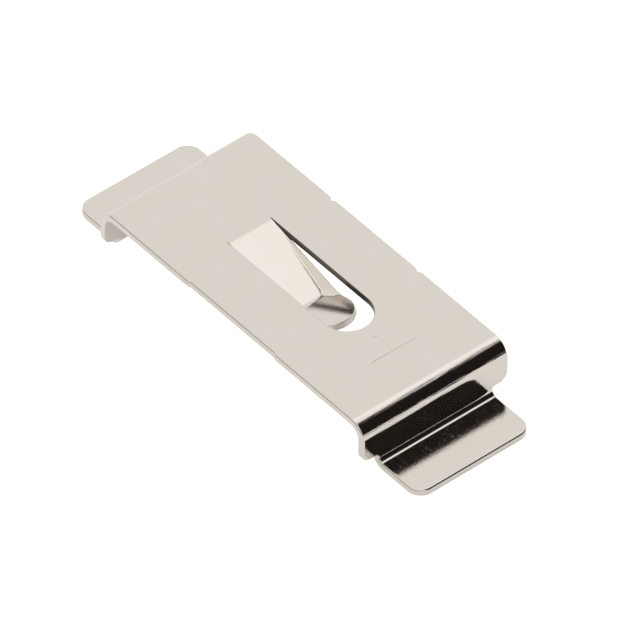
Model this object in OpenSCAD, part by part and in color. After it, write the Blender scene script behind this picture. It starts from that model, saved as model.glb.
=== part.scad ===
// Surface-mount coin cell holder: one strip of plated spring steel, stamped
// and folded. A flat plate bridges the cell, an end wall stands at each end
// of it, and a foot turned outwards at the bottom of each wall is soldered
// to the board. A finger lanced out of the plate presses on the cell, which
// slides in from either long side.
//
// Millimetres. X runs along the strip, Y across it, Z up from the board.
// Origin: on the board, under the middle of the plate.

/* [Cell] */
// Diameter of the coin cell that the walls hold
cell_d = 20; // [16:0.5:24]
// Free play between the cell and each end wall
end_gap = 0.39; // [0.2:0.01:0.8]
// Clear height under the plate
clear_h = 2.97; // [2.6:0.01:3.6]

/* [Sheet] */
// Thickness of the sheet
sheet_t = 0.41; // [0.3:0.01:0.5]

/* [Plate] */
// Width of the plate and of the end walls
plate_w = 10.1; // [9:0.1:12]
// Inside radius of the bend between the plate and each wall
plate_bend_r = 0.72; // [0.4:0.02:1.0]
// Half the length over which each long edge carried the stamping strip
tab_half_l = 3.5; // [2:0.1:5]
// Depth by which the strip was sheared inside the edge on the -Y side
tab_step = 0.08; // [0.02:0.01:0.2]
// Depth of the relief nicks beside the strip on the +Y side
nick_depth = 0.12; // [0.02:0.01:0.25]
// Length of one relief nick along the edge
nick_l = 0.3; // [0.1:0.05:0.6]

/* [Feet] */
// Width of the feet
foot_w = 8.0; // [6:0.1:9]
// Reach of each foot beyond the outside of its wall
foot_l = 3.3; // [2:0.1:5]
// Inside radius of the bend between each wall and its foot
foot_bend_r = 0.4; // [0.2:0.02:0.8]
// Radius of the outer corners of the feet
foot_corner_r = 0.9; // [0.3:0.1:2]
// Height of the lower edge of the wall beside the foot
ear_z = 0.8; // [0.6:0.02:1.2]
// Radius of the lower corners of the walls
ear_r = 0.6; // [0.2:0.05:0.9]
// Radius in the inside corner between the wall's lower edge and the foot
neck_r = 0.12; // [0.05:0.01:0.2]

/* [Spring finger] */
// Width of the slot and of the finger lanced from it
slot_w = 3.0; // [2.4:0.1:4]
// Position of the finger's bend line along the plate
hinge_x = -4.35; // [-6:0.05:-3]
// Position of the round end of the slot
slot_end_x = 4.95; // [4.4:0.05:6]
// Slope of the finger down from its bend line, in degrees
drop_angle = 15.3; // [10:0.1:18]
// Slope of the upturned end of the finger, in degrees
lift_angle = 17; // [10:0.5:25]
// Length of the finger from its bend line to the contact crease
drop_l = 5.6; // [5:0.05:6]
// Length of the finger from the contact crease to its tip
lift_l = 2.47; // [1.8:0.01:3]
// Radius of the upper face over the bend line
hinge_r = 1.5; // [0.8:0.1:3]
// Radius of the upper face in the contact crease
contact_r = 1.2; // [0.6:0.1:2]
// Width of the flat face at the contact crease
contact_w = 1.76; // [1.2:0.02:2.4]
// Width of the flat face at the tip
tip_w = 2.0; // [1.4:0.02:2.4]
// Height of the wings' outer edges above the flat face
wing_rise = 0.34; // [0.1:0.02:0.6]
// Shear gap between each edge of the finger and the slot at the bend line
lance_gap = 0.03; // [0.01:0.01:0.1]
// Distance by which folding the wings draws each edge of the finger in
draw_in = 0.1; // [0.04:0.01:0.2]

/* [Hidden] */
$fn = 96;
eps = 0.01;
far = 40;

plate_z = clear_h + sheet_t;                    // upper face of the plate
wall_x = cell_d / 2 + end_gap + sheet_t;        // outside face of a wall
toe_x = wall_x + foot_l;                        // outer edge of a foot
plate_bend_x = wall_x - sheet_t - plate_bend_r; // axis of the plate bend
plate_bend_z = clear_h - plate_bend_r;
foot_bend_x = wall_x + foot_bend_r;             // axis of the foot bend
foot_bend_z = sheet_t + foot_bend_r;

// Sharp corners of the finger's upper face, before its bends are rounded
crease_x = hinge_x + drop_l * cos(drop_angle);
crease_z = plate_z - drop_l * sin(drop_angle);
tip_x = crease_x + lift_l * cos(lift_angle);
hinge_reach = hinge_r * tan(drop_angle / 2);
crease_turn = (drop_angle + lift_angle) / 2;
crease_lean = (lift_angle - drop_angle) / 2;

// Slopes and fold lines of the finger's faces
fall = tan(drop_angle);
lift = tan(lift_angle);
flat_y = contact_w / 2;
root_y = slot_w / 2 - lance_gap;
edge_y = slot_w / 2 - draw_in;
wing_slope = wing_rise / (edge_y - flat_y);
taper = (slot_w / 2 - flat_y) / (crease_x - hinge_x);
flare = (tip_w - contact_w) / 2 / (tip_x - crease_x);

// Quarter or part ring: the section of a bend, from angle a0 to a1
module bend(r_in, a0, a1) {
    reach = 3 * (r_in + sheet_t);
    intersection() {
        difference() {
            circle(r = r_in + sheet_t);
            circle(r = r_in);
        }
        polygon([
            [0, 0],
            reach * [cos(a0), sin(a0)],
            reach * [cos((a0 + a1) / 2), sin((a0 + a1) / 2)],
            reach * [cos(a1), sin(a1)]
        ]);
    }
}

// Half of the strip's side section, in X and Z
module half_section() {
    translate([0, clear_h]) square([plate_bend_x, sheet_t]);
    translate([plate_bend_x, plate_bend_z]) bend(plate_bend_r, 0, 90);
    translate([wall_x - sheet_t, foot_bend_z])
        square([sheet_t, plate_bend_z - foot_bend_z]);
    translate([foot_bend_x, foot_bend_z]) bend(foot_bend_r, 180, 270);
    translate([foot_bend_x, 0]) square([toe_x - foot_bend_x, sheet_t]);
}

// Carries a section drawn in X and Z across the strip
module across(width) {
    rotate([90, 0, 0]) linear_extrude(height = width, center = true) children();
}

// Region beside one foot, in Y and Z: it leaves the wall's rounded lower
// corner and the small radius where the wall's edge meets the foot
module beside_foot() {
    side = foot_w / 2;
    edge = plate_w / 2;
    difference() {
        translate([side, -1]) square([edge - side + 1, ear_z + 1]);
        translate([side, ear_z - neck_r]) difference() {
            square(neck_r);
            translate([neck_r, 0]) circle(r = neck_r);
        }
    }
    difference() {
        translate([edge - ear_r, ear_z - eps]) square([ear_r + 1, ear_r + eps]);
        translate([edge - ear_r, ear_z + ear_r]) circle(r = ear_r);
    }
}

// Region outside one rounded corner of a foot, seen from above
module outside_toe_corner() {
    difference() {
        translate([toe_x - foot_corner_r, foot_w / 2 - foot_corner_r])
            square(foot_corner_r + 1);
        translate([toe_x - foot_corner_r, foot_w / 2 - foot_corner_r])
            circle(r = foot_corner_r);
    }
}

// Outline of the slot that the finger is lanced from, seen from above
module slot_outline() {
    r = slot_w / 2;
    translate([hinge_x - hinge_reach, -r])
        square([slot_end_x - r - hinge_x + hinge_reach, slot_w]);
    translate([slot_end_x - r, 0]) circle(r = r);
}

// Marks of the strip that carried the part through the press
module carrier_marks() {
    translate([-tab_half_l, -plate_w / 2 - 1, clear_h - 1])
        cube([2 * tab_half_l, 1 + tab_step, sheet_t + 2]);
    for (s = [-1, 1])
        translate([s * tab_half_l - nick_l / 2, plate_w / 2 - nick_depth, clear_h - 1])
            cube([nick_l, 1, sheet_t + 2]);
}

// The folded strip without its finger
module strip() {
    difference() {
        across(plate_w) {
            half_section();
            mirror([1, 0]) half_section();
        }
        for (my = [0, 1]) mirror([0, my, 0]) {
            rotate([90, 0, 90])
                linear_extrude(height = 2 * far, center = true) beside_foot();
            for (mx = [0, 1]) mirror([mx, 0, 0])
                translate([0, 0, -1])
                    linear_extrude(height = foot_bend_z + 1) outside_toe_corner();
        }
        translate([0, 0, clear_h - 1])
            linear_extrude(height = sheet_t + 2) slot_outline();
        carrier_marks();
    }
}

// Everything above a plane through point p that falls by slope_x along X
// and rises by slope_y along Y; the plane is lowered by drop along its normal
module above(p, slope_x, slope_y, drop) {
    pitch = atan(slope_x);
    roll = atan(slope_y * cos(pitch));
    translate(p) rotate([0, pitch, 0]) rotate([roll, 0, 0])
        translate([-far, -far, -drop]) cube([2 * far, 2 * far, far]);
}

// Section of the space above the finger's sloping face and its upturned end,
// in X and Z, with the contact crease rounded between them
module above_crease(drop) {
    round_r = contact_r + drop;
    reach = round_r * tan(crease_turn);
    bottom = contact_r / cos(crease_turn) - round_r / cos(crease_turn);
    translate([crease_x, crease_z]) rotate(crease_lean) {
        difference() {
            translate([0, bottom]) polygon([
                [0, 0],
                far * [cos(crease_turn), sin(crease_turn)],
                [0, far],
                far * [-cos(crease_turn), sin(crease_turn)]
            ]);
            translate([0, bottom]) polygon([
                [0, 0],
                reach * [cos(crease_turn), sin(crease_turn)],
                [0, round_r / cos(crease_turn)],
                reach * [-cos(crease_turn), sin(crease_turn)]
            ]);
        }
        translate([0, contact_r / cos(crease_turn)]) circle(r = round_r);
    }
}

// Section of the space above the plate and above the bend where the finger
// leaves it, in X and Z
module above_hinge(drop) {
    translate([hinge_x - far, plate_z - drop]) square(2 * far);
    translate([hinge_x - hinge_reach, plate_z - hinge_r]) difference() {
        polygon([
            [0, 0], [0, far],
            far * [sin(drop_angle), cos(drop_angle)]
        ]);
        circle(r = hinge_r - drop);
    }
}

// Space above the finger's upper face, or above its lower face when drop is
// the sheet's thickness: a dish whose flat bottom carries the contact crease
// and whose sides are the wings
module dish(drop) {
    intersection() {
        across(2 * slot_w) above_crease(drop);
        intersection_for (my = [0, 1]) mirror([0, my, 0]) intersection() {
            above([crease_x, flat_y, crease_z], fall - taper * wing_slope, wing_slope, drop);
            above([crease_x, flat_y, crease_z], flare * wing_slope - lift, wing_slope, drop);
        }
    }
    across(2 * slot_w) above_hinge(drop);
}

// Outline of the finger seen from above: as wide as the slot at its bend
// line, drawn in where the wings are folded up, and round at the tip
module finger_outline() {
    root_x = hinge_x - hinge_reach - sheet_t;
    polygon([
        [root_x, -root_y], [hinge_x, -root_y], [crease_x, -edge_y],
        [tip_x - edge_y, -edge_y], [tip_x - edge_y, edge_y],
        [crease_x, edge_y], [hinge_x, root_y], [root_x, root_y]
    ]);
    translate([tip_x - edge_y, 0]) circle(r = edge_y);
}

// The finger: the strip's own metal inside the slot, bent down and dished
module finger() {
    intersection() {
        difference() {
            dish(sheet_t);
            dish(0);
        }
        linear_extrude(height = plate_z + 1) finger_outline();
    }
}

module retainer() {
    color([0.84, 0.81, 0.77]) {
        strip();
        finger();
    }
}

retainer();
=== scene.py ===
"""Coin cell holder: one folded strip of plated spring steel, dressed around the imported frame.

Shapes are worked out in millimetres on the flat blank, as (s, y): s runs along the strip's upper
face from the middle of the plate, y across it. The blank is then folded and turned into metres.
"""

import math

import bpy
import numpy as np
from mathutils import Matrix, Vector
from mathutils.geometry import delaunay_2d_cdt


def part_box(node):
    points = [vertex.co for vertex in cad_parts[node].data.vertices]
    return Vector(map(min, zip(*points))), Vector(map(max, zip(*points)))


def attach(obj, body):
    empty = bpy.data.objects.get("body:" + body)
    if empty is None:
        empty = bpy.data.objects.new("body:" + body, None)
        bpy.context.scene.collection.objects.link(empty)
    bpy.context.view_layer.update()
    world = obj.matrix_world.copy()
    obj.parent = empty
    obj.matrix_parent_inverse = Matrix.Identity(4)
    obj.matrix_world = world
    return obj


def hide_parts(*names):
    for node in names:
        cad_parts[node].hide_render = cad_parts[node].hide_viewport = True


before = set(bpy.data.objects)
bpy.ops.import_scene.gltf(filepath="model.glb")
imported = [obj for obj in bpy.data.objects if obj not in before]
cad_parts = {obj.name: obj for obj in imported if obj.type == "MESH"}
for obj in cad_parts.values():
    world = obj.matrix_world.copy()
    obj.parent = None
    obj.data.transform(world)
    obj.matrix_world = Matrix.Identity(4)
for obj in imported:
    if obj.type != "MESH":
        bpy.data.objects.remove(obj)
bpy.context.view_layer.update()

MM = 0.001
high = np.array(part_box("retainer")[1]) / MM

# The folded strip
SHEET_T = 0.41
PLATE_Z = high[2]
TOE_X = high[0]
EDGE_Y = high[1]
FOOT_Y = 4.0
FOOT_L = 3.3
PLATE_BEND_R = 0.72 + SHEET_T
FOOT_BEND_R = 0.4
WALL_X = TOE_X - FOOT_L
PLATE_END = WALL_X - PLATE_BEND_R
WALL_S = PLATE_END + PLATE_BEND_R * math.pi / 2
WALL_L = PLATE_Z - PLATE_BEND_R - SHEET_T - FOOT_BEND_R
FOOT_BEND_S = WALL_S + WALL_L
FOOT_S = FOOT_BEND_S + FOOT_BEND_R * math.pi / 2
TOE_S = FOOT_S + TOE_X - WALL_X - FOOT_BEND_R
EAR_S = FOOT_BEND_S + 0.01
EAR_R = 0.6
NECK_R = 0.12
TOE_R = 0.9
TAB_L = 3.5
TAB_STEP = 0.08
NICK_DEPTH = 0.12

# The finger and its slot
SLOT_Y = 1.5
HINGE_X = -4.35
SLOT_END = 4.95
DROP = math.radians(15.9)
LIFT = math.radians(15.2)
DROP_L = 5.24
LIFT_L = 2.84
HINGE_R = 1.5
CONTACT_R = 0.6
WING_R = 0.12
FLAT_Y = 0.88
TIP_FLAT_Y = 1.0
WING_RISE = 0.34
END_WING_RISE = 0.08
ROOT_Y = 1.485
TIP_Y = 1.4
CREASE_X = HINGE_X + DROP_L * math.cos(DROP)
CREASE_Z = PLATE_Z - DROP_L * math.sin(DROP)
TIP_X = CREASE_X + LIFT_L * math.cos(LIFT)
ROOT_X = HINGE_X - HINGE_R * math.tan(DROP / 2)
GAP_X = ROOT_X + 0.08

# Sheared edges: radii rolled over at the outer face, on the outline and in the slot, and the
# sharper corner at the under face
ROLLS = (0.12, 0.05)
BURR_R = 0.03

# The room, in degrees up from +X: where the dark side and the brightest band fade in and out
DARK_FROM = (-6, -2)
DARK_TO = (83, 68)
BRIGHT_FROM = (118, 105)
BRIGHT_TO = (76, 95)

# The floor: half its width in metres, and its glow seen directly and mirrored in the metal
FLOOR_REACH = 3.0
FLOOR_SEEN = 0.80
FLOOR_MIRRORED = 0.27

# The camera: turn, tilt and roll in degrees, then millimetres
VIEW_ANGLES = (41.4801, 44.5699, 1.5878)
VIEW_DISTANCE = 842.87
VIEW_RIGHT = 0.8775
VIEW_DOWN = 1.3682
VIEW_LENS = 894.3

# The polarity sign: a plus cut lightly into the plate
PLUS_X = 7.27
PLUS_Y = 0.02
PLUS_ARM_X = 1.36
PLUS_ARM_Y = 1.52
PLUS_W = 0.06
PLUS_DEPTH = 0.022


def round_max(a, b, blend):
    """The greater of a and b, with a parabola of half width blend where they cross."""
    return np.maximum(a, b) + np.maximum(blend - np.abs(a - b), 0) ** 2 / (4 * blend)


def finger_height(x, y):
    """Height of the finger's upper face: the greatest of four planes (the falling face, the rising
    end, and each one's wing), crossing in parabolas whose curvature is one over the bend radius,
    and held below the plate's own level by the same rounding at the bend line."""
    fall, lift = math.tan(DROP), math.tan(LIFT)
    wing = WING_RISE / (TIP_Y - FLAT_Y)
    taper = (SLOT_Y - FLAT_Y) / (CREASE_X - HINGE_X)
    flare = (TIP_FLAT_Y - FLAT_Y) / (TIP_X - CREASE_X)
    end_slope = END_WING_RISE / (TIP_Y - FLAT_Y)
    u = x - CREASE_X
    v = np.abs(y) - FLAT_Y
    face = CREASE_Z - fall * u
    end = CREASE_Z + lift * u
    face_wing = CREASE_Z - (fall - taper * wing) * u + wing * v
    end_wing = CREASE_Z + (lift - flare * end_slope) * u + end_slope * v
    crease = CONTACT_R * (fall + lift) ** 2 / 2
    middle = round_max(face, end, crease)
    wings = round_max(face_wing, end_wing, 2 * crease)
    dish = round_max(middle, wings, WING_R * wing**2 / 2)
    return -round_max(-dish, -PLATE_Z + 0 * dish, HINGE_R * fall**2 / 2)


def strip_section(s):
    """Outer face of the strip at distance s: flat, a quarter circle down, straight, a quarter
    circle outwards, flat. Returns x, z."""
    a = np.abs(s)
    turn = np.clip((a - PLATE_END) / PLATE_BEND_R, 0, math.pi / 2)
    back = np.clip((a - FOOT_BEND_S) / FOOT_BEND_R, 0, math.pi / 2)
    wall = np.clip(a - WALL_S, 0, WALL_L)
    foot = np.maximum(a - FOOT_S, 0)
    x = np.minimum(a, PLATE_END) + PLATE_BEND_R * np.sin(turn) + FOOT_BEND_R * (1 - np.cos(back)) + foot
    z = PLATE_Z - PLATE_BEND_R * (1 - np.cos(turn)) - wall - FOOT_BEND_R * np.sin(back)
    return np.sign(s) * x, z


def segment_distance(s, y, ends):
    """Distance from (s, y) to the straight line between two ends."""
    (s0, y0), (s1, y1) = ends
    ds, dy = s1 - s0, y1 - y0
    share = np.clip(((s - s0) * ds + (y - y0) * dy) / (ds**2 + dy**2), 0, 1)
    return np.hypot(s - s0 - share * ds, y - y0 - share * dy)


def plus_distance(s, y):
    """Distance to the nearest stroke of the plus: two long strokes with short hooks at three ends."""
    u, v = s - PLUS_X, y - PLUS_Y
    strokes = [
        ((-PLUS_ARM_X, 0.06), (PLUS_ARM_X, 0.0)), ((0.0, -PLUS_ARM_Y), (0.02, PLUS_ARM_Y)),
        ((-PLUS_ARM_X, 0.06), (-PLUS_ARM_X - 0.02, -0.2)), ((0.02, PLUS_ARM_Y), (0.24, PLUS_ARM_Y + 0.02)),
        ((0.0, -PLUS_ARM_Y), (-0.16, -PLUS_ARM_Y - 0.1)),
    ]
    return np.minimum.reduce([segment_distance(u, v, ends) for ends in strokes])


def plus_groove(s, y):
    """Depth of the plus: a cosine groove across the distance to its nearest stroke."""
    near = np.minimum(plus_distance(s, y) / PLUS_W, 1)
    return PLUS_DEPTH * (0.5 + 0.5 * np.cos(math.pi * near))


def face(s, y, on_finger, cut):
    """Point on the strip's outer face; cut is 1 where the plus is engraved and 0 under it."""
    x, z = strip_section(s)
    z = np.where(on_finger, finger_height(s, y), z - cut * plus_groove(s, y))
    return np.stack([np.where(on_finger, s, x), y, z], -1)


def fold(s, y, depth, on_finger, cut=0.0):
    """Folded place and outward normal of the blank's point (s, y) at a depth below its outer face:
    the normal is the cross product of the face's two slopes, and the depth runs along it."""
    step = 1e-4
    ds = face(s + step, y, on_finger, cut) - face(s - step, y, on_finger, cut)
    dy = face(s, y + step, on_finger, cut) - face(s, y - step, on_finger, cut)
    normal = np.cross(ds, dy)
    normal /= np.linalg.norm(normal, axis=-1, keepdims=True)
    return face(s, y, on_finger, cut) - depth * normal, normal


def rounded_outline(corners):
    """Closed outline through corners (s, y, radius), metal on its left: each corner becomes an arc
    tangent to both sides. Returns points and the unit normals that point away from the metal."""
    points, normals = [], []
    count = len(corners)
    for i, (s, y, radius) in enumerate(corners):
        here = np.array([s, y])
        before = here - np.array(corners[i - 1][:2])
        after = np.array(corners[(i + 1) % count][:2]) - here
        before /= np.linalg.norm(before)
        after /= np.linalg.norm(after)
        turn = math.atan2(before[0] * after[1] - before[1] * after[0], before @ after)
        side = math.copysign(1, turn)
        left = np.array([-before[1], before[0]]) * side
        start = here - before * radius * math.tan(abs(turn) / 2)
        steps = max(2, math.ceil(abs(turn) / math.radians(6)))
        angle = np.linspace(0, abs(turn), steps + 1)[:, None]
        spoke = -left * np.cos(angle) + before * np.sin(angle)
        points.append(start + left * radius + spoke * radius)
        normals.append(spoke * side)
    points, normals = np.concatenate(points), np.concatenate(normals)
    apart = np.linalg.norm(points - np.roll(points, 1, 0), axis=1) > 1e-5
    return points[apart], normals[apart]


def add_stations(points, normals, stations):
    """Splits the outline's sides wherever s passes one of the stations."""
    nxt = np.roll(points, -1, 0)
    span = nxt[:, 0] - points[:, 0]
    gap = stations[:, None] - points[None, :, 0]
    share = np.divide(gap, span, out=np.full_like(gap, -1.0), where=np.abs(span) > 1e-9)
    hit = (share > 0.002) & (share < 0.998)
    where = np.concatenate([np.arange(len(points)), (share + np.arange(len(points)))[hit]])
    where.sort()
    wrap = np.arange(len(points) + 1)
    closed = np.concatenate([points, points[:1]]), np.concatenate([normals, normals[:1]])
    points, normals = (np.stack([np.interp(where, wrap, c) for c in a.T], -1) for a in closed)
    return points, normals / np.linalg.norm(normals, axis=1, keepdims=True)


def without_repeats(points, normals, roll):
    """Drops the points of a loop whose place, drawn in by the edge radius, repeats the one before."""
    drawn_in = points - roll * normals
    apart = np.linalg.norm(drawn_in - np.roll(drawn_in, 1, 0), axis=1) > 1e-4
    return points[apart], normals[apart]


def mirrored(values):
    """The values and their negatives, in rising order."""
    return np.concatenate([-values[::-1], values])


def inside(points, loops):
    """Even-odd rule for points against closed loops."""
    odd = np.zeros(len(points), bool)
    for loop in loops:
        a, b = loop, np.roll(loop, -1, 0)
        over = (a[None, :, 1] > points[:, None, 1]) != (b[None, :, 1] > points[:, None, 1])
        rise = np.where(np.abs(b[:, 1] - a[:, 1]) < 1e-12, 1e-12, b[:, 1] - a[:, 1])
        cross = a[:, 0] + (points[:, None, 1] - a[:, 1]) * (b[:, 0] - a[:, 0]) / rise
        odd ^= (over & (points[:, None, 0] < cross)).sum(1) % 2 == 1
    return odd


def far_from(points, loops, gap):
    """Points more than gap from every side of the loops."""
    keep = np.ones(len(points), bool)
    for loop in loops:
        side = np.roll(loop, -1, 0) - loop
        rel = points[:, None] - loop[None]
        share = np.clip((rel * side).sum(-1) / np.maximum((side**2).sum(-1), 1e-12), 0, 1)
        keep &= np.linalg.norm(rel - share[..., None] * side, axis=-1).min(1) > gap
    return keep


def blank_outlines():
    """The strip's outer edge and the gap round the finger."""
    r = 0.125
    outer = [
        (TOE_S, -FOOT_Y, TOE_R), (TOE_S, FOOT_Y, TOE_R),
        (EAR_S, FOOT_Y, NECK_R), (EAR_S, EDGE_Y, EAR_R),
    ]
    for s in (TAB_L, -TAB_L):
        outer += [
            (s + 0.2, EDGE_Y, r), (s + 0.07, EDGE_Y - NICK_DEPTH, 0.03),
            (s - 0.07, EDGE_Y - NICK_DEPTH, 0.03), (s - 0.2, EDGE_Y, r),
        ]
    outer += [
        (-EAR_S, EDGE_Y, EAR_R), (-EAR_S, FOOT_Y, NECK_R), (-TOE_S, FOOT_Y, TOE_R),
        (-TOE_S, -FOOT_Y, TOE_R), (-EAR_S, -FOOT_Y, NECK_R), (-EAR_S, -EDGE_Y, EAR_R),
        (-TAB_L - 0.06, -EDGE_Y, r), (-TAB_L + 0.06, TAB_STEP - EDGE_Y, r),
        (TAB_L - 0.06, TAB_STEP - EDGE_Y, r), (TAB_L + 0.06, -EDGE_Y, r),
        (EAR_S, -EDGE_Y, EAR_R), (EAR_S, -FOOT_Y, NECK_R),
    ]
    gap_r = 0.006
    gap = [
        (GAP_X, ROOT_Y, gap_r), (GAP_X, SLOT_Y, gap_r), (SLOT_END, SLOT_Y, SLOT_Y),
        (SLOT_END, -SLOT_Y, SLOT_Y), (GAP_X, -SLOT_Y, gap_r), (GAP_X, -ROOT_Y, gap_r),
        (HINGE_X, -ROOT_Y, 4.0), (CREASE_X, -TIP_Y, 4.0), (TIP_X, -TIP_Y, TIP_Y),
        (TIP_X, TIP_Y, TIP_Y), (CREASE_X, TIP_Y, 4.0), (HINGE_X, ROOT_Y, 4.0),
    ]
    return rounded_outline(outer), rounded_outline(gap)


def finger_points(stations):
    """Grid over the finger: along it at the stations, across it in lines that follow the folds."""
    taper = (SLOT_Y - FLAT_Y) / (CREASE_X - HINGE_X)
    flare = (TIP_FLAT_Y - FLAT_Y) / (TIP_X - CREASE_X)
    past = stations - CREASE_X
    line = FLAT_Y + np.where(past < 0, -taper * past, flare * past)
    middle = np.linspace(0, 0.95, 9)[1:, None] * (line - 0.05)[None]
    band = line[None] + np.linspace(-0.05, 0.05, 9)[:, None]
    wing = line[None] + np.linspace(0.1, 0.7, 8)[:, None]
    y = np.concatenate([middle, band, wing])
    y = np.concatenate([-y[::-1], 0 * stations[None], y])
    return np.stack([np.broadcast_to(stations, y.shape), y], -1).reshape(-1, 2)


def plus_points():
    """Fine square grid over the polarity sign."""
    grid = np.arange(-1.8, 1.8001, 0.0175)
    s, y = np.meshgrid(PLUS_X + grid, PLUS_Y + grid, indexing="ij")
    points = np.stack([s, y], -1).reshape(-1, 2)
    return points[plus_distance(*points.T) < PLUS_W + 0.02]


def on_finger_metal(points):
    """Which points of the blank lie on the finger and not on the plate round it."""
    s, y = points.T
    beside = (s > ROOT_X) & (s <= TIP_X - TIP_Y) & (np.abs(y) < (SLOT_Y + ROOT_Y) / 2)
    tip = (s > TIP_X - TIP_Y) & (np.hypot(s - TIP_X + TIP_Y, y) < TIP_Y + 0.015)
    return beside | tip


def build_retainer():
    """The strip: the blank's two faces are one triangulated sheet used twice, folded at depth 0 and
    at the sheet's thickness, and a rolled edge profile is carried along every outline."""
    bends = np.concatenate([
        np.linspace(PLATE_END, WALL_S, 31), np.linspace(FOOT_BEND_S, FOOT_S, 25),
    ])
    along = np.concatenate([
        np.arange(ROOT_X, HINGE_X + 0.3, 0.03), np.arange(HINGE_X + 0.3, CREASE_X - 0.6, 0.1),
        np.arange(CREASE_X - 0.6, CREASE_X + 0.6, 0.03), np.arange(CREASE_X + 0.6, TIP_X, 0.06),
    ])
    (outer, outer_n), (gap, gap_n) = blank_outlines()
    outer, outer_n = add_stations(outer, outer_n, mirrored(bends))
    gap, gap_n = add_stations(gap, gap_n, along)
    outer, outer_n = without_repeats(outer, outer_n, ROLLS[0])
    gap, gap_n = without_repeats(gap, gap_n, ROLLS[1])
    edges_2d = [outer - ROLLS[0] * outer_n, gap - ROLLS[1] * gap_n]
    loose = np.concatenate([finger_points(along), plus_points()])
    loose = loose[inside(loose, edges_2d) & far_from(loose, edges_2d, 0.02)]
    points = np.concatenate(edges_2d + [loose])
    first = np.cumsum([0] + [len(e) for e in edges_2d])
    sides = [
        (int(a + i), int(a + (i + 1) % (b - a)))
        for a, b in zip(first, first[1:]) for i in range(b - a)
    ]
    rims = [np.arange(a, b) for a, b in zip(first, first[1:])]
    for station in mirrored(bends):
        row = np.flatnonzero(np.abs(points[: len(outer), 0] - station) < 1e-6)
        if len(row) >= 2:
            ends = row[np.argsort(points[row, 1])]
            sides.append((int(ends[0]), int(ends[-1])))
    flat, _, tris, origin, _, _ = delaunay_2d_cdt(
        [Vector(p) for p in points.tolist()], sides, [], 0, 1e-7
    )
    flat = np.array([v[:] for v in flat])
    tris = np.array(tris)
    place = np.full(len(points), -1)
    for new, old in enumerate(origin):
        place[old] = new
    rims = [place[rim] for rim in rims]
    tris = tris[inside(flat[tris].mean(1), edges_2d)]
    ab, ac = flat[tris[:, 1]] - flat[tris[:, 0]], flat[tris[:, 2]] - flat[tris[:, 0]]
    area = ab[:, 0] * ac[:, 1] - ab[:, 1] * ac[:, 0]
    tris[area < 0] = tris[area < 0][:, ::-1]
    tris = tris[np.abs(area) > 1e-12]

    s, y = flat.T
    finger = on_finger_metal(flat)
    top, top_n = fold(s, y, 0.0, finger, 1.0)
    under, under_n = fold(s, y, SHEET_T, finger)
    verts, normals = [top, under], [top_n, -under_n]
    blank, cut = [flat, flat], [np.zeros(len(flat))] * 2
    faces = [tris.tolist(), (tris[:, ::-1] + len(flat)).tolist()]
    # painted shade: per vertex, how far the plate's side of the slot is darkened to stand for the shadowed
    # space under the plate
    painted_slot_shade = [np.zeros(2 * len(flat))]
    count = 2 * len(flat)

    turn = np.linspace(0, math.pi / 2, 8)
    for rim, normal, roll in zip(rims, (outer_n, gap_n), ROLLS):
        out = np.concatenate([roll * np.sin(turn[1:]), roll - BURR_R * (1 - np.sin(turn[::-1]))])
        deep = np.concatenate([roll * (1 - np.cos(turn[1:])), SHEET_T - BURR_R * (1 - np.cos(turn[::-1]))])
        lean = np.concatenate([turn[1:], math.pi - turn[::-1]])
        base = flat[rim]
        metal = on_finger_metal(base)
        ring = base[None] + out[:, None, None] * normal[None]
        rs, ry = ring[..., 0], ring[..., 1]
        metal2 = np.broadcast_to(metal, rs.shape)
        place3, up = fold(rs, ry, deep[:, None, None], metal2)
        ahead = face(rs + 1e-4 * normal[:, 0], ry + 1e-4 * normal[:, 1], metal2, 0.0)
        away = ahead - face(rs, ry, metal2, 0.0)
        away -= (away * up).sum(-1, keepdims=True) * up
        away /= np.linalg.norm(away, axis=-1, keepdims=True)
        shade = up * np.cos(lean)[:, None, None] + away * np.sin(lean)[:, None, None]
        verts.append(place3.reshape(-1, 3))
        normals.append(shade.reshape(-1, 3))
        blank.append(ring.reshape(-1, 2))
        cut.append(np.repeat(np.sin(lean), len(rim)))
        # painted shade on the plate's side faces of the slot, strongest where the rim stands upright
        painted_slot_shade.append(np.tile((normal is gap_n) & ~metal, len(out)) * np.repeat(np.sin(lean) ** 2, len(rim)))
        rows = np.arange(len(out) * len(rim)).reshape(len(out), -1) + count
        rows = np.concatenate([rim[None], rows, rim[None] + len(flat)])
        after = np.roll(rows, -1, 1)
        quads = np.stack([rows[:-1], rows[1:], after[1:], after[:-1]], -1).reshape(-1, 4)
        faces.append(quads.tolist())
        count += len(out) * len(rim)

    verts = np.concatenate(verts) * MM
    normals = np.concatenate(normals)
    blank = np.concatenate(blank)
    mesh = bpy.data.meshes.new("strip")
    mesh.from_pydata(verts.tolist(), [], [f for group in faces for f in group])
    mesh.validate()
    mesh.update()
    corner = np.zeros(len(mesh.loops), np.int32)
    mesh.loops.foreach_get("vertex_index", corner)
    layer = mesh.uv_layers.new(name="blank")
    layer.data.foreach_set("uv", blank[corner].astype(np.float32).ravel())
    sheared = mesh.attributes.new("sheared", "FLOAT", "POINT")
    sheared.data.foreach_set("value", np.concatenate(cut).astype(np.float32))
    # painted shade mask for the slot wall, read by the material
    slot_wall_painted_shade = mesh.attributes.new("slot_wall_painted_shade", "FLOAT", "POINT")
    slot_wall_painted_shade.data.foreach_set("value", np.concatenate(painted_slot_shade).astype(np.float32))
    mesh.polygons.foreach_set("use_smooth", np.ones(len(mesh.polygons), bool))
    mesh.normals_split_custom_set_from_vertices(normals.tolist())
    piece = bpy.data.objects.new("retainer_strip", mesh)
    bpy.context.scene.collection.objects.link(piece)
    return piece


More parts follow.
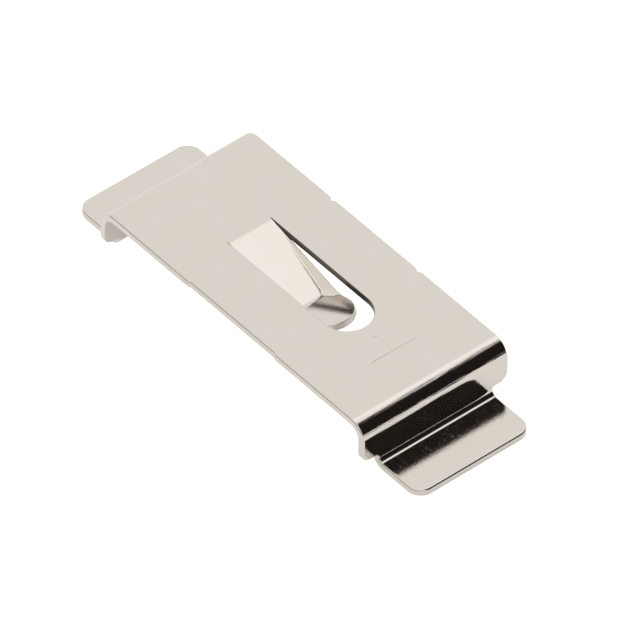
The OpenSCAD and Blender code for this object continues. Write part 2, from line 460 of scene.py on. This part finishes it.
def node(tree, kind, links=None, **values):
    """Adds a shader node; values set its properties, links its inputs by name or number."""
    new = tree.nodes.new(kind)
    for name, value in values.items():
        setattr(new, name, value)
    for key, value in (links or {}).items():
        socket = new.inputs[key]
        if isinstance(value, bpy.types.NodeSocket):
            tree.links.new(value, socket)
        else:
            socket.default_value = value
    return new


def times(tree, first, second):
    """Product of two values."""
    return node(tree, "ShaderNodeMath", {0: first, 1: second}, operation="MULTIPLY").outputs[0]


def smooth_step(tree, value, start, end):
    """Goes smoothly from 0 to 1 as the value goes from start to end."""
    limits = {"Value": value, "From Min": start, "From Max": end}
    return node(tree, "ShaderNodeMapRange", limits, interpolation_type="SMOOTHSTEP").outputs[0]


def blend(tree, share, first, second):
    """Colour that goes from the first to the second as the share goes from 0 to 1."""
    return node(tree, "ShaderNodeMix", {0: share, 6: first, 7: second}, data_type="RGBA").outputs[2]


def plated_steel():
    """Bright plating over rolled steel: nearly a mirror, faintly mottled and grained, rougher on
    the sheared edges, pitted on the feet and dragged over the plate's bends. Painted shade darkens
    the plate's side of the slot, standing in for the shadowed space under the plate it mirrors."""
    mat = bpy.data.materials.new("plated_steel")
    mat.use_nodes = True
    tree = mat.node_tree
    tree.nodes.clear()
    out = node(tree, "ShaderNodeOutputMaterial")
    coords = node(tree, "ShaderNodeTexCoord").outputs["Object"]
    mm = node(tree, "ShaderNodeVectorMath", {0: coords, "Scale": 1000.0}, operation="SCALE").outputs[0]
    cut = node(tree, "ShaderNodeAttribute", attribute_name="sheared").outputs["Fac"]
    cloud = node(tree, "ShaderNodeTexNoise", {"Vector": mm, "Scale": 0.55, "Detail": 4.0, "Roughness": 0.6})
    grain = node(tree, "ShaderNodeTexNoise", {"Vector": mm, "Scale": 9.0, "Detail": 3.0, "Roughness": 0.7})
    tone_and_painted_shade = blend(tree, cloud.outputs["Fac"], (0.80, 0.745, 0.68, 1), (0.81, 0.77, 0.725, 1))
    rough = node(
        tree, "ShaderNodeMapRange",
        {"Value": grain.outputs["Fac"], "From Min": 0.3, "From Max": 0.7, "To Min": 0.07, "To Max": 0.12},
    ).outputs[0]
    rough = node(tree, "ShaderNodeMath", {0: cut, 1: 0.12, 2: rough}, operation="MULTIPLY_ADD").outputs[0]
    blank = node(tree, "ShaderNodeUVMap", uv_map="blank").outputs[0]
    along = node(tree, "ShaderNodeSeparateXYZ", {0: blank}).outputs["X"]
    reach = node(tree, "ShaderNodeMath", {0: along}, operation="ABSOLUTE").outputs[0]

    def zone(start, end, soft):
        """1 between two distances from the strip's middle, fading to 0 over soft on each side."""
        rise = smooth_step(tree, reach, start - soft, start + soft)
        fall = smooth_step(tree, reach, end + soft, end - soft)
        return times(tree, rise, fall)

    pits = node(tree, "ShaderNodeTexNoise", {"Vector": mm, "Scale": 5.5, "Detail": 5.0, "Roughness": 0.8})
    pits = node(
        tree, "ShaderNodeMapRange", {"Value": pits.outputs["Fac"], "From Min": 0.64, "From Max": 0.70},
    ).outputs[0]
    drag = node(
        tree, "ShaderNodeVectorMath", {0: blank, 1: (9.0, 0.5, 1.0)}, operation="MULTIPLY"
    ).outputs[0]
    drag = node(tree, "ShaderNodeTexNoise", {"Vector": drag, "Scale": 1.0, "Detail": 3.0}).outputs["Fac"]
    pits = times(tree, pits, zone(FOOT_S, FOOT_S + 1.7, 0.15))
    drag = times(tree, drag, zone(PLATE_END + 0.1, WALL_S - 0.2, 0.2))
    bump = node(
        tree, "ShaderNodeBump",
        {"Height": grain.outputs["Fac"], "Strength": 0.035, "Distance": 0.0001},
    ).outputs[0]
    bump = node(
        tree, "ShaderNodeBump", {"Height": pits, "Strength": 0.22, "Distance": 0.00002, "Normal": bump}
    ).outputs[0]
    bump = node(
        tree, "ShaderNodeBump", {"Height": drag, "Strength": 0.25, "Distance": 0.00005, "Normal": bump}
    ).outputs[0]
    # painted shade: the plate's side of the slot is blended to near black, standing in for the shadowed
    # space under the plate mirrored there
    slot = node(tree, "ShaderNodeAttribute", attribute_name="slot_wall_painted_shade").outputs["Fac"]
    tone_and_painted_shade = blend(tree, slot, tone_and_painted_shade, (0.12, 0.11, 0.105, 1))
    shader = node(
        tree, "ShaderNodeBsdfPrincipled",
        {"Base Color": tone_and_painted_shade, "Metallic": 1.0, "Roughness": rough, "Normal": bump},
    )
    tree.links.new(shader.outputs[0], out.inputs["Surface"])
    return mat


def studio():
    """White floor, and a bright room with one dark side in front and to the right."""
    world = bpy.data.worlds.new("studio")
    bpy.context.scene.world = world
    world.use_nodes = True
    tree = world.node_tree
    tree.nodes.clear()
    out = node(tree, "ShaderNodeOutputWorld")
    way = node(tree, "ShaderNodeTexCoord").outputs["Generated"]
    part = node(tree, "ShaderNodeSeparateXYZ", {0: way})
    x, y, z = part.outputs
    angle = node(tree, "ShaderNodeMath", {0: z, 1: x}, operation="ARCTAN2").outputs[0]

    def turned(start, end):
        """Goes from 0 to 1 between two directions, in degrees up from +X in the XZ plane."""
        return smooth_step(tree, angle, math.radians(start), math.radians(end))

    dark = times(tree, turned(*DARK_FROM), turned(*DARK_TO))
    dark = times(tree, dark, smooth_step(tree, y, -0.25, 0.1))
    over = times(tree, turned(*BRIGHT_FROM), turned(*BRIGHT_TO))
    wall = blend(tree, over, (0.86, 0.85, 0.835, 1), (1.08, 1.07, 1.06, 1))
    rear = blend(tree, smooth_step(tree, z, 0.30, 0.62), (0.2, 0.195, 0.19, 1), (0.80, 0.77, 0.71, 1))
    wall = blend(tree, smooth_step(tree, y, -0.2, -0.6), wall, rear)
    room = blend(tree, dark, wall, (0.014, 0.011, 0.010, 1))
    light = node(tree, "ShaderNodeBackground", {"Color": room, "Strength": 1.0})
    white = node(tree, "ShaderNodeBackground", {"Color": (1, 1, 1, 1), "Strength": 1.0})
    path = node(tree, "ShaderNodeLightPath")
    mix = node(
        tree, "ShaderNodeMixShader",
        {0: path.outputs["Is Camera Ray"], 1: light.outputs[0], 2: white.outputs[0]},
    )
    tree.links.new(mix.outputs[0], out.inputs["Surface"])

    mesh = bpy.data.meshes.new("floor")
    r = FLOOR_REACH
    mesh.from_pydata([(-r, -r, 0), (r, -r, 0), (r, r, 0), (-r, r, 0)], [], [(0, 1, 2, 3)])
    floor = bpy.data.objects.new("floor", mesh)
    bpy.context.scene.collection.objects.link(floor)
    floor.location.z = -1e-5
    mat = bpy.data.materials.new("white_floor")
    mat.use_nodes = True
    tree = mat.node_tree
    tree.nodes.clear()
    out = node(tree, "ShaderNodeOutputMaterial")
    path = node(tree, "ShaderNodeLightPath")
    seen = times(tree, path.outputs["Is Camera Ray"], FLOOR_SEEN)
    glow = node(
        tree, "ShaderNodeMath", {0: path.outputs["Is Glossy Ray"], 1: FLOOR_MIRRORED, 2: seen},
        operation="MULTIPLY_ADD",
    ).outputs[0]
    paint = node(tree, "ShaderNodeBsdfDiffuse", {"Color": (0.9, 0.9, 0.9, 1)})
    lit = node(tree, "ShaderNodeEmission", {"Color": (1, 1, 1, 1), "Strength": glow})
    both = node(tree, "ShaderNodeAddShader", {0: paint.outputs[0], 1: lit.outputs[0]})
    tree.links.new(both.outputs[0], out.inputs["Surface"])
    mesh.materials.append(mat)


def camera():
    """A long lens from the front right, above: turned round the point at the plate's mid height."""
    turn, tilt, roll = (math.radians(angle) for angle in VIEW_ANGLES)
    away = Vector((math.cos(turn) * math.cos(tilt), -math.sin(turn) * math.cos(tilt), math.sin(tilt)))
    level = Vector((math.sin(turn), math.cos(turn), 0))
    upright = away.cross(level)
    right = math.cos(roll) * level + math.sin(roll) * upright
    up = math.cos(roll) * upright - math.sin(roll) * level
    spot = Vector((0, 0, 2.0)) + VIEW_RIGHT * right - VIEW_DOWN * up + VIEW_DISTANCE * away
    data = bpy.data.cameras.new("camera")
    data.sensor_width = 36
    data.lens = VIEW_LENS
    data.clip_end = 10
    cam = bpy.data.objects.new("camera", data)
    bpy.context.scene.collection.objects.link(cam)
    pose = Matrix((right, up, away)).transposed().to_4x4()
    pose.translation = spot * MM
    cam.matrix_world = pose
    bpy.context.scene.camera = cam


camera()
studio()
strip = build_retainer()
strip.data.materials.append(plated_steel())
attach(strip, "root")
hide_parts("retainer")
bpy.context.scene.view_settings.view_transform = "Standard"
